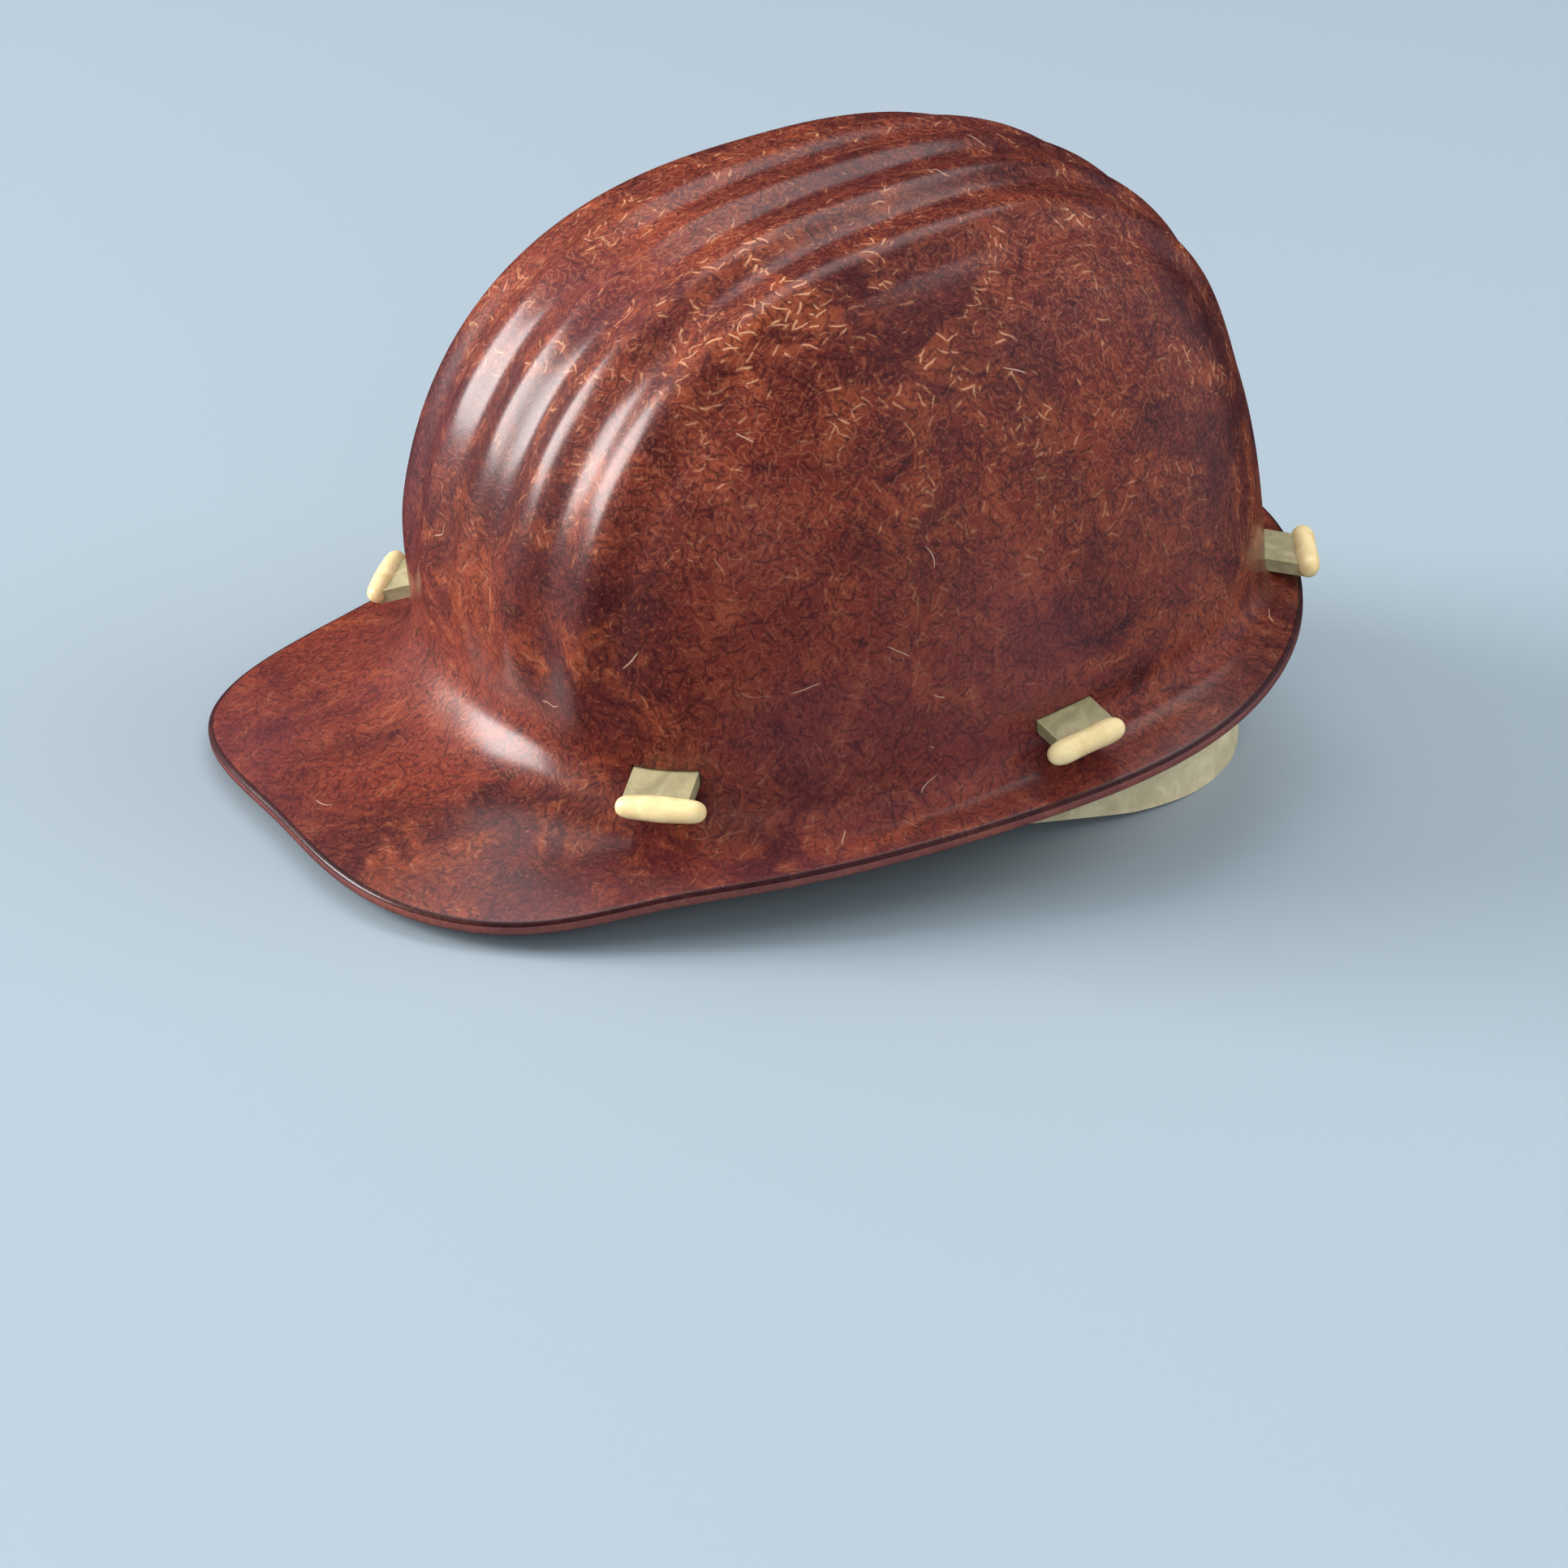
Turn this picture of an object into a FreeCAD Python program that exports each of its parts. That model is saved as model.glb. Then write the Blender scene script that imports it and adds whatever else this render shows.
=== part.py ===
import FreeCAD, Part
import bisect
import math
import os
from FreeCAD import Vector

# Miner's safety helmet: a one-piece ribbed shell of pressed fibre-filled
# phenolic resin with a square duck-bill peak, carried on a six-point
# polyethylene cradle whose arm ends pass out through slots in the shell.
# Millimetres. Modelled in the helmet's own frame: X forward, Y to the
# wearer's left, Z up, origin under the crown on the plane of the brim.
# stand() at the end sets it down as it rests on a table.

# Shell sizes.
shell_thickness = 3.2
dome_half_length = 116.5
dome_half_width = 94.6
dome_height = 130.5
past_all = 150.0            # cuts that go right through reach this far
plan_power = 2.5            # superellipse of the plan
profile_power = 2.6         # superellipse of every upright section
front_fullness = 0.08       # the dome is wider in front than behind
crown_setback = 4.0         # the crown leans back by this much

# Edge of the brim: bearing in degrees, share of the dome's half length (the
# rest is its half width) that the overhang is measured from, overhang, height.
edge_outline = [
    (0, 1.0, 58.5, 5.5), (17, 0.9, 64.19, 4.2), (30, 0.8, 53.38, 0.5), (39, 0.6, 39.26, 0.0),
    (48, 0.5, 28.95, -1.0), (60, 0.3, 21.33, -2.8), (83, 0.0, 17.2, -5.0), (109, 0.1, 20.61, -4.0),
    (136, 0.5, 16.65, -3.8), (160, 0.9, 11.99, -4.8), (180, 1.0, 13.5, -5.6)]
rise_front, rise_side, rise_rear = 24.0, 11.0, 7.0   # height of the cove above the edge
flare_share = 0.5           # share of the brim taken by the cove
lift_front, lift_side = 3.0, 2.0

rib_pitch = 20.4            # ribs side by side at the crown
rib_fan = 0.033             # and their spreading towards the front
rib_height = 2.6
ribs_each_side = 2
rib_front_low, rib_front_full = 20.0, 55.0           # heights where ribs run out
rib_rear_low, rib_rear_full = 45.0, 95.0

# The skin is laid out on lines that run from the front edge over the crown to
# the rear edge: one on every crest and valley of the ribs, then lines that
# spread down each side to the edge of the brim.
side_steps = [0.2, 0.4, 0.58, 0.71, 0.79, 0.86, 0.93, 1.0]
stations = [1.0, 0.985, 0.91, 0.84, 0.78, 0.72, 0.65, 0.56, 0.46, 0.35, 0.23, 0.11]
front_corner, rear_corner = 50.0, 135.0              # bearings where the last line starts and ends

# Cradle sizes.
slot_bearing = {"front": 35.9, "side": 95.4, "rear": 155.5}
slot_height = {"front": 18.2, "side": 8.2, "rear": 3.2}
slot_width, slot_depth = 18.5, 4.6
tab_width, tab_thickness = 17.5, 3.6
tab_reach = 13.0            # from the shell to the middle of the toggle
tab_droop = 15.0            # degrees
toggle_length, toggle_diameter = 24.0, 6.6
toggle_lift = 0.9           # toggle stands higher than the tab
toggle_shift = {"front": 2.0, "side": -2.0, "rear": 1.0}
saddle_clearance = 0.15

strap_width = 16.0
strap_thickness = 1.8
hanger_thickness = 3.2
hanger_clearance = 5.0      # hanger to the inside of the wall
shoulder_width = 22.0
seat = 0.3                  # moulded pieces meet with this much play
crown_air = 36.5            # from the top of the dome to the crown disc
crown_level = dome_height - crown_air
strap_start, strap_bend = 20.0, 38.0
hanger_below, hanger_straight = 2.2, 14.0            # its straight part, from the slot down and up
shoulder_past = 3.0         # the shoulder is trimmed from a block that starts this far out
disc_radius, disc_thickness, disc_hole = 36.0, 2.4, 9.0
pad_radius, pad_thickness = 31.0, 6.0
rivet_circle = 28.5
rivet_diameter, rivet_head, rivet_head_height = 4.0, 8.0, 1.3
rivet_play = 0.2

# Headband sizes.
band_air_side = 17.6        # from the dome's outline to the middle of the band
band_air_front, band_air_rear = 14.5, 13.5
band_half_width = dome_half_width - band_air_side
band_front_start = dome_half_length - band_air_front - band_half_width
band_rear_start = band_half_width + band_air_rear - dome_half_length
band_thickness = 1.6
band_front_end = band_front_start + band_half_width + 6.0
band_rear_end = band_rear_start - band_half_width - 1.0
band_top = [(band_front_end, 22), (60, 22), (40, 14), (-70, 12), (band_rear_end, 10)]
band_bottom = [(band_rear_end, -12), (-20, -12), (-14, -25), (-2, -24), (16, -19), (30, -10),
               (60, -8), (band_front_end, -8)]
foot_width, foot_above, foot_below = 16.0, 2.0, 11.0
foot_thickness = 1.8
foot_margin = 0.5           # below the head of its rivet
web_thickness = 3.0

nape_thickness = 1.8
nape_slope = 16.5           # degrees, the way the strap slides
nape_travel = 12.0          # each way from the middle setting
nape_front = 20.0
nape_height = 20.0
nape_air = 4.0              # it stands this far behind the headband
nape_rear_start = band_rear_start - nape_air
nape_rear_end = nape_rear_start - band_half_width - 3.0
nape_edge = [(-37, -40.3), (-62, -46.5), (-85, -51), (nape_rear_end, -52)]
peg_x = 0.0
peg_diameter, peg_head, peg_head_height = 5.0, 9.0, 1.6

sweat_thickness = 2.2
sweat_air = 0.6             # to the heads of the rivets
sweat_back = -20.0          # the leather ends here on both sides
sweat_top = [(band_front_end, 20.5), (60, 20.5), (40, 12.5), (sweat_back, 11.0)]
sweat_bottom = [(sweat_back, -12), (30, -8.5), (60, -9.5), (band_front_end, -9.5)]
nape_pad_thickness = 4.0
nape_pad_front = -62.0


# Shell surface.
def spline_of(values):
    bearings = [math.radians(row[0]) for row in edge_outline]
    points = [Vector(b, value, 0) for b, value in zip(bearings, values)]
    curve = Part.BSplineCurve()
    curve.interpolate(Points=points, Parameters=bearings,
                      InitialTangent=Vector(1, 0, 0), FinalTangent=Vector(1, 0, 0))
    return curve


edge_reach = spline_of([share * dome_half_length + (1 - share) * dome_half_width + overhang
                        for bearing, share, overhang, height in edge_outline])
edge_level = spline_of([row[3] for row in edge_outline])


def around(front, side, rear, bearing):
    c = math.cos(bearing)
    return side + (front - side) * max(c, 0) ** 4 + (rear - side) * max(-c, 0) ** 4


def base_radius(bearing):
    c, s = abs(math.cos(bearing)), abs(math.sin(bearing))
    r = dome_half_length
    for _ in range(6):
        breadth = dome_half_width * (1 + front_fullness * r * math.cos(bearing) / dome_half_length)
        r = ((c / dome_half_length) ** plan_power + (s / breadth) ** plan_power) ** (-1 / plan_power)
    return r


def dome_radius(bearing, level):
    return base_radius(bearing) * (1 - (level / dome_height) ** profile_power) ** (1 / profile_power)


def section(bearing):
    """Outline of the shell's upright section from crown to brim edge, with
    the length run along it: dome, cove, then the flat of the brim."""
    a = abs((bearing + math.pi) % (2 * math.pi) - math.pi)
    base = base_radius(a)
    reach, level = edge_reach.value(a).y, edge_level.value(a).y
    join = level + around(rise_front, rise_side, rise_rear, a)
    turn = math.acos((join / dome_height) ** (profile_power / 2))
    points = []
    for i in range(61):
        t = turn * (i / 60) ** 1.3
        points.append((base * math.sin(t) ** (2 / profile_power),
                       dome_height * math.cos(t) ** (2 / profile_power)))
    (ra, za), (rb, zb) = points[-2:]
    step = math.hypot(rb - ra, zb - za)
    down = ((rb - ra) / step, (zb - za) / step)
    run = flare_share * (reach - base)
    rc, zc = base + run, level + around(lift_front, lift_side, lift_side, a)
    step = math.hypot(reach - rc, level - zc)
    out = ((reach - rc) / step, (level - zc) / step)
    h, k = 0.62 * (zb - zc), 0.62 * run
    poles = [(rb, zb), (rb + down[0] * h, zb + down[1] * h), (rc - out[0] * k, zc - out[1] * k), (rc, zc)]
    for i in range(1, 17):
        t = i / 16
        weights = ((1 - t) ** 3, 3 * t * (1 - t) ** 2, 3 * t * t * (1 - t), t ** 3)
        points.append(tuple(sum(w * p[j] for w, p in zip(weights, poles)) for j in (0, 1)))
    for i in range(1, 9):
        t = i / 8
        points.append((rc + (reach - rc) * t, zc + (level - zc) * t))
    lengths = [0.0]
    for p, q in zip(points, points[1:]):
        lengths.append(lengths[-1] + math.hypot(q[0] - p[0], q[1] - p[1]))
    return points, lengths


known_sections = {}


def surface_point(share, bearing):
    """Point of the smooth outer surface at a share of the way from the crown
    (0) to the brim edge (1), along the section at this bearing."""
    key = round(bearing, 9)
    if key not in known_sections:
        known_sections[key] = section(bearing)
    points, lengths = known_sections[key]
    d = share * lengths[-1]
    i = min(max(bisect.bisect_right(lengths, d) - 1, 0), len(lengths) - 2)
    f = (d - lengths[i]) / (lengths[i + 1] - lengths[i])
    r = points[i][0] + f * (points[i + 1][0] - points[i][0])
    z = points[i][1] + f * (points[i + 1][1] - points[i][1])
    return Vector(r * math.cos(bearing) - crown_setback * (max(z, 0) / dome_height) ** 2,
                  r * math.sin(bearing), z)


def normal_at(share, bearing):
    e = 0.01
    along = surface_point(min(share + e, 1), bearing) - surface_point(max(share - e, 0), bearing)
    across = surface_point(share, bearing + e) - surface_point(share, bearing - e)
    normal = across.cross(along).normalize()
    return normal * -1 if normal.z < 0 else normal


def ease(t):
    t = min(max(t, 0), 1)
    return t * t * (3 - 2 * t)


def rib_rise(p):
    u = abs(p.y) / (rib_pitch + rib_fan * p.x)
    if u > ribs_each_side + 0.5:
        return 0
    low, full = (rib_front_low, rib_front_full) if p.x > 0 else (rib_rear_low, rib_rear_full)
    return rib_height * 0.5 * (1 + math.cos(2 * math.pi * u)) * ease((p.z - low) / (full - low))


def crossing(share, line, ahead):
    """Bearing from the nearer end of the helmet at which the skin, at this
    share of the way down, meets a rib line."""
    low, high = 0.0, math.pi / 2
    for _ in range(36):
        middle = (low + high) / 2
        p = surface_point(share, middle if ahead else math.pi - middle)
        over = p.y - line * (rib_pitch + rib_fan * p.x)
        low, high = (low, middle) if over > 0 else (middle, high)
    return low if ahead else math.pi - low


def nearest_share(line):
    """Share of the way down at which a rib line passes beside the crown."""
    low, high = 0.0, 1.0
    for _ in range(36):
        middle = (low + high) / 2
        p = surface_point(middle, math.pi / 2)
        over = p.y - line * (rib_pitch + rib_fan * p.x)
        low, high = (low, middle) if over > 0 else (middle, high)
    return low


def rib_line(line):
    """Shares and bearings of the stations along one rib line."""
    near = nearest_share(line)
    ahead = [(near + (1 - near) * t, True) for t in stations] + [(near, None)]
    behind = [(near + (1 - near) * t, False) for t in reversed(stations)]
    return [(share, math.pi / 2 if way is None else crossing(share, line, way))
            for share, way in ahead + behind]


def side_line(step):
    """Stations of a line between the outermost valley and the brim's edge."""
    inner = rib_line(ribs_each_side + 0.5)
    count = len(stations)
    w = step
    line = []
    for i, (share, bearing) in enumerate(inner):
        f = i / count
        last = front_corner + (90 - front_corner) * f
        if f > 1:
            last = 90 + (rear_corner - 90) * (f - 1)
        line.append((share + (1 - share) * w, bearing + (math.radians(last) - bearing) * w))
    return line


def half_grid():
    """Lines of one side, from the middle crest out to the edge."""
    lines = [rib_line(k / 2) for k in range(0, 2 * ribs_each_side + 2)]
    lines[0] = [(share, 0.0 if i <= len(stations) else math.pi) for i, (share, b) in enumerate(lines[0])]
    return lines + [side_line(step) for step in side_steps]


def skin(depth, drop=0.0):
    """Points of one skin, left edge to right edge, front to rear."""
    rows = []
    for line in half_grid():
        row = []
        for share, bearing in line:
            p = surface_point(share, bearing)
            n = normal_at(share, bearing) if share > 1e-4 else Vector(0, 0, 1)
            p = p - n * depth if depth else p + n * rib_rise(p)
            row.append(p - Vector(0, 0, drop))
        rows.append(row)
    right = [[Vector(p.x, -p.y, p.z) for p in row] for row in rows[:0:-1]]
    return right + rows


def border(rows):
    """The edge points of a skin in order."""
    return ([row[0] for row in rows] + rows[-1][1:] + [row[-1] for row in reversed(rows[:-1])] +
            rows[0][-2:0:-1])


def tiles(rows, outward):
    out = []
    for row, following in zip(rows, rows[1:]):
        for a, b, c, d in zip(row, row[1:], following[1:], following):
            if (a - c).Length < (b - d).Length:
                pieces = [(a, b, c), (a, c, d)]
            else:
                pieces = [(a, b, d), (b, c, d)]
            out += [t if outward else t[::-1] for t in pieces]
    return out


def band_tiles(upper, lower):
    out = []
    for i in range(len(upper)):
        j = (i + 1) % len(upper)
        out += [(upper[i], lower[i], lower[j]), (upper[i], lower[j], upper[j])]
    return out


def solid_of(triangles):
    index, points, facets = {}, [], []
    for triangle in triangles:
        facet = []
        for p in triangle:
            key = (round(p.x, 4), round(p.y, 4), round(p.z, 4))
            if key not in index:
                index[key] = len(points)
                points.append(p)
            facet.append(index[key])
        facets.append(tuple(facet))
    shape = Part.Shape()
    shape.makeShapeFromMesh((points, facets), 0.001)
    solid = Part.Solid(Part.Shell(shape.Faces))
    if solid.Volume < 0:
        solid.reverse()
    return solid


def make_shell():
    outer, inner = skin(0), skin(shell_thickness)
    edge = [p for p in border(skin(0))]
    foot = [p - Vector(0, 0, shell_thickness) for p in edge]
    triangles = tiles(outer, True) + tiles(inner, False)
    triangles += band_tiles(edge, foot) + band_tiles(foot, border(inner))
    return solid_of(triangles)


def make_cavity():
    """Space inside the shell, a seat's play away from the wall."""
    top = skin(shell_thickness + seat)
    edge = border(top)
    floor = [Vector(p.x, p.y, -60) for p in edge]
    triangles = tiles(top, True) + band_tiles(edge, floor)
    centre = Vector(0, 0, -60)
    triangles += [(floor[i], centre, floor[(i + 1) % len(floor)]) for i in range(len(floor))]
    return solid_of(triangles)


# Small helpers.
def prism(points, low, high):
    """Polygon in the XZ plane drawn out between two values of Y."""
    face = Part.Face(Part.makePolygon([Vector(x, low, z) for x, z in points + points[:1]]))
    return face.extrude(Vector(0, high - low, 0))


def block(length, width, height, centre, bearing=0.0, droop=0.0):
    """Box on its centre, its length along a bearing and drooping outwards."""
    box = Part.makeBox(length, width, height, Vector(-length / 2, -width / 2, -height / 2))
    box.rotate(Vector(0, 0, 0), Vector(0, 1, 0), droop)
    box.rotate(Vector(0, 0, 0), Vector(0, 0, 1), math.degrees(bearing))
    box.translate(centre)
    return box


def turned(profile, centre, bearing=0.0, pitch=0.0, sides=10):
    """Bar of few flat sides: (along, radius) pairs about an axis on a bearing."""
    turns = [2 * math.pi * (i + 0.5) / sides for i in range(sides)]
    rings = [[Vector(a, r * math.cos(t), r * math.sin(t)) for t in turns] for a, r in profile]
    faces = [Part.Face(Part.makePolygon(ring + ring[:1])) for ring in (rings[0], rings[-1])]
    for near, far in zip(rings, rings[1:]):
        for i in range(sides):
            j = (i + 1) % sides
            faces.append(Part.Face(Part.makePolygon([near[i], far[i], far[j], near[j], near[i]])))
    hull = Part.Shell(faces)
    hull.sewShape()
    solid = Part.Solid(hull)
    if solid.Volume < 0:
        solid.reverse()
    solid.rotate(Vector(0, 0, 0), Vector(0, 1, 0), pitch)
    solid.rotate(Vector(0, 0, 0), Vector(0, 0, 1), math.degrees(bearing))
    solid.translate(centre)
    return solid


def mirrored(shape):
    return shape.mirror(Vector(0, 0, 0), Vector(0, 1, 0))


def pair(shape):
    return Part.makeCompound([shape, mirrored(shape)])


def oval_bar(grow, low, high, rear=band_rear_start):
    """Upright bar with the plan of the headband, half circles on straight
    sides, or of what lies inside or outside it."""
    r = band_half_width + grow
    front = band_front_start
    edges = [Part.Arc(Vector(front, -r, low), Vector(front + r, 0, low), Vector(front, r, low)).toShape(),
             Part.LineSegment(Vector(front, r, low), Vector(rear, r, low)).toShape(),
             Part.Arc(Vector(rear, r, low), Vector(rear - r, 0, low), Vector(rear, -r, low)).toShape(),
             Part.LineSegment(Vector(rear, -r, low), Vector(front, -r, low)).toShape()]
    return Part.Face(Part.Wire(edges)).extrude(Vector(0, 0, high - low))


def oval_ring(inside, outside, low, high, rear=band_rear_start):
    return oval_bar(outside, low, high, rear).cut(oval_bar(inside, low, high, rear))


def band_frame(bearing):
    """Point of the headband's middle line on a bearing from the axis and the
    bearing of its outward normal."""
    c, s = math.cos(bearing), math.sin(bearing)
    low, high = 0.0, 200.0
    for _ in range(50):
        r = (low + high) / 2
        x, y = r * c, r * s
        nearest = min(max(x, band_rear_start), band_front_start)
        low, high = (r, high) if math.hypot(x - nearest, y) < band_half_width else (low, r)
    nearest = min(max(r * c, band_rear_start), band_front_start)
    return Vector(r * c, r * s, 0), math.atan2(r * s, r * c - nearest)


# The slots.
class Slot:
    """Where one arm of the cradle leaves the shell."""

    def __init__(self, place):
        bearing = math.radians(slot_bearing[place])
        low, high = 0.3, 1.0
        for _ in range(40):
            share = (low + high) / 2
            above = surface_point(share, bearing).z > slot_height[place]
            low, high = (share, high) if above else (low, share)
        self.mouth = surface_point(share, bearing)
        normal = normal_at(share, bearing)
        self.out = math.atan2(normal.y, normal.x)
        droop = math.radians(tab_droop)
        level = math.cos(droop)
        self.way = Vector(math.cos(self.out) * level, math.sin(self.out) * level, -math.sin(droop))
        self.across = Vector(-math.sin(self.out), math.cos(self.out), 0)
        self.centre = self.mouth - normal * (shell_thickness / 2)
        # upright part of the arm, clear of the wall beside the slot
        self.low = self.centre.z - hanger_below
        self.high = self.centre.z + hanger_straight
        wall = dome_radius(bearing, self.high) - shell_thickness
        wall -= crown_setback * (self.high / dome_height) ** 2
        self.hanger = wall - hanger_clearance - hanger_thickness / 2
        foot = Vector(self.centre.x, self.centre.y, 0)
        foot -= Vector(math.cos(self.out), math.sin(self.out), 0) * (foot.Length - self.hanger)
        self.bearing = math.atan2(foot.y, foot.x)


slots = {place: Slot(place) for place in slot_bearing}


def slot_cutter(slot):
    return block(30.0, slot_width, slot_depth, slot.centre, slot.out, tab_droop)


# Cradle.
def strap_profile(slot):
    """Arm seen from the side: flat under the crown disc, a long bend, then
    the upright hanger inside the wall."""
    thick, thin = hanger_thickness / 2, strap_thickness / 2
    middle = crown_level - thin
    end = slot.hanger

    fall, reach = middle - slot.high, end - strap_bend
    radius = min(fall, reach)
    start, finish = end - radius, middle - radius

    def bend(side):
        top = Vector(start, 0, middle + side * thin)
        foot = Vector(end + side * thick, 0, finish)
        r = radius + side * (thin + thick) / 2
        half_way = Vector(start + r * math.sqrt(0.5), 0, finish + r * math.sqrt(0.5))
        return Part.Arc(top, half_way, foot).toShape(), top, foot

    outer, a, b = bend(1)
    inner, c, d = bend(-1)
    corners = [c, Vector(strap_start, 0, c.z), Vector(strap_start, 0, a.z), a]
    upright = [b, Vector(b.x, 0, slot.low), Vector(d.x, 0, slot.low), d]
    edges = [Part.LineSegment(p, q).toShape() for p, q in zip(corners, corners[1:])] + [outer]
    edges += [Part.LineSegment(p, q).toShape() for p, q in zip(upright, upright[1:])] + [inner]
    return Part.Face(Part.Wire(edges))


def arm_rivet_at(slot):
    place, normal = band_frame(slot.bearing)
    return place + Vector(0, 0, slot.centre.z - foot_below + rivet_head / 2 + foot_margin), normal


def cradle_arm(slot, cavity):
    strap = strap_profile(slot)
    strap.translate(Vector(0, -strap_width / 2, 0))
    strap = strap.extrude(Vector(0, strap_width, 0))
    strap.rotate(Vector(0, 0, 0), Vector(0, 0, 1), math.degrees(slot.bearing))
    # shoulder that bears on the wall, trimmed to the wall's own curve
    outwards = Vector(math.cos(slot.bearing), math.sin(slot.bearing), 0)
    depth = (slot.centre - outwards * slot.hanger - Vector(0, 0, slot.centre.z)).Length
    shoulder = block(depth + 2 * shoulder_past, shoulder_width, tab_thickness,
                     slot.centre - slot.way * (depth / 2 - shoulder_past), slot.out, tab_droop)
    shoulder = shoulder.common(cavity)
    reach = tab_reach + depth
    tab = block(reach, tab_width, tab_thickness,
                slot.centre + slot.way * (tab_reach - reach / 2), slot.out, tab_droop)
    # foot against the outside of the headband
    place, normal = band_frame(slot.bearing)
    low, high = slot.centre.z - foot_below, slot.centre.z + foot_above
    near = band_thickness / 2 + seat
    plate = oval_ring(near, near + foot_thickness, low, high)
    plate = plate.common(block(20, foot_width, 60, Vector(place.x, place.y, low), normal))
    middle = math.hypot(place.x, place.y)
    web = block(slot.hanger - middle, foot_width, web_thickness,
                outwards * ((slot.hanger + middle) / 2)
                + Vector(0, 0, slot.centre.z + foot_above - web_thickness / 2), slot.bearing)
    web = web.cut(oval_bar(near, low - 5, high + 5))
    body = strap.fuse([shoulder, tab, plate, web])
    spot, normal = arm_rivet_at(slot)
    hole = rivet_diameter / 2 + rivet_play
    body = body.cut(turned([(-8, hole), (6, hole)], spot, normal, sides=8))
    top = Vector(rivet_circle * math.cos(slot.bearing), rivet_circle * math.sin(slot.bearing), crown_level)
    body = body.cut(turned([(-10, hole), (10, hole)], top, 0.0, -90.0, sides=8))
    return body.removeSplitter()


def toggle(slot, shift):
    """Torpedo-shaped bar saddled over the end of the tab."""
    half, r = toggle_length / 2, toggle_diameter / 2
    left = [(-half, r * 0.3), (-half + 1.4, r * 0.72), (-half + 5, r)]
    profile = left + [(-along, radius) for along, radius in reversed(left)]
    middle = slot.centre + slot.way * tab_reach
    up = slot.way.cross(slot.across) * -1
    up = up if up.z > 0 else up * -1
    bar = turned(profile, middle + up * toggle_lift + slot.across * shift, slot.out + math.pi / 2)
    notch = block(tab_reach, tab_width + 2 * saddle_clearance, tab_thickness + 2 * saddle_clearance,
                  middle - slot.way * (tab_reach / 2 - saddle_clearance), slot.out, tab_droop)
    return bar.cut(notch)


def crown_rivet(slot):
    top = Vector(rivet_circle * math.cos(slot.bearing), rivet_circle * math.sin(slot.bearing), crown_level)
    r, h = rivet_diameter / 2, rivet_head / 2
    low, high = -strap_thickness, disc_thickness
    stem = turned([(low, r), (high, r)], top, 0.0, -90.0, sides=8)
    heads = [turned([(low - rivet_head_height, h * 0.7), (low, h)], top, 0.0, -90.0, sides=8),
             turned([(high, h), (high + rivet_head_height, h * 0.7)], top, 0.0, -90.0, sides=8)]
    return stem.fuse(heads)


def band_rivet(slot):
    spot, normal = arm_rivet_at(slot)
    r, h = rivet_diameter / 2, rivet_head / 2
    low, high = -band_thickness / 2 - 0.1, band_thickness / 2 + seat + foot_thickness + 0.1
    stem = turned([(low, r), (high, r)], spot, normal, sides=8)
    heads = [turned([(low - 0.5, h * 0.7), (low, h)], spot, normal, sides=8),
             turned([(high, h), (high + rivet_head_height, h * 0.7)], spot, normal, sides=8)]
    return stem.fuse(heads)


def crown_disc():
    disc = Part.makeCylinder(disc_radius, disc_thickness, Vector(0, 0, crown_level))
    disc = disc.cut(Part.makeCylinder(disc_hole, disc_thickness, Vector(0, 0, crown_level)))
    hole = rivet_diameter / 2 + rivet_play
    for slot in slots.values():
        for side in (1, -1):
            spot = Vector(rivet_circle * math.cos(slot.bearing),
                          side * rivet_circle * math.sin(slot.bearing), crown_level)
            disc = disc.cut(turned([(-2, hole), (10, hole)], spot, 0.0, -90.0, sides=8))
    return disc


def crown_pad():
    """Round leather cushion under the arms, thinner towards its seam."""
    level = crown_level - strap_thickness - rivet_head_height - seat
    r, t = pad_radius, pad_thickness
    profile = [(-t, r * 0.3), (-t * 0.88, r * 0.62), (-t * 0.6, r * 0.88), (-t * 0.25, r), (0, r * 0.93)]
    return turned(profile, Vector(0, 0, level), 0.0, -90.0, sides=28)


# Headband.
slide = Vector(-math.cos(math.radians(nape_slope)), 0, -math.sin(math.radians(nape_slope)))


def nape_low(x):
    """Lower edge of the straight part of the nape strap."""
    return nape_edge[0][1] + (x - nape_edge[0][0]) * math.tan(math.radians(nape_slope))


peg_spot = Vector(peg_x, 0, nape_low(peg_x) + nape_height / 2)
nape_inside = band_thickness / 2 + seat


def headband():
    ring_solid = oval_ring(-band_thickness / 2, band_thickness / 2, -past_all, past_all)
    side = prism(band_top + band_bottom, -past_all, past_all)
    band = ring_solid.common(side)
    hole = rivet_diameter / 2 + rivet_play
    for slot in slots.values():
        spot, normal = arm_rivet_at(slot)
        drill = turned([(-8, hole), (6, hole)], spot, normal, sides=8)
        band = band.cut([drill, mirrored(drill)])
    bore = peg_diameter / 2 + rivet_play
    foot = peg_spot - Vector(0, past_all, 0)
    return band.cut(Part.makeCylinder(bore, 2 * past_all, foot, Vector(0, 1, 0)))


def nape_strap():
    grow = nape_inside + nape_thickness
    strap = oval_ring(nape_inside, grow, -past_all, past_all, nape_rear_start)
    front = [(nape_front, nape_low(nape_front)), (nape_front, nape_low(nape_front) + nape_height)]
    lower = [(x, z) for x, z in nape_edge]
    upper = [(x, z + nape_height) for x, z in reversed(nape_edge)]
    strap = strap.common(prism(lower + upper + [front[1], front[0]], -past_all, past_all))
    half = peg_diameter / 2 + rivet_play
    track = Part.makeBox(2 * nape_travel, 2 * past_all, 2 * half, Vector(-nape_travel, -past_all, -half))
    ends = [Part.makeCylinder(half, 2 * past_all, Vector(x, -past_all, 0), Vector(0, 1, 0))
            for x in (-nape_travel, nape_travel)]
    track = track.fuse(ends)
    track.rotate(Vector(0, 0, 0), Vector(0, 1, 0), -nape_slope)
    track.translate(peg_spot)
    return strap.cut(track)


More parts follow.
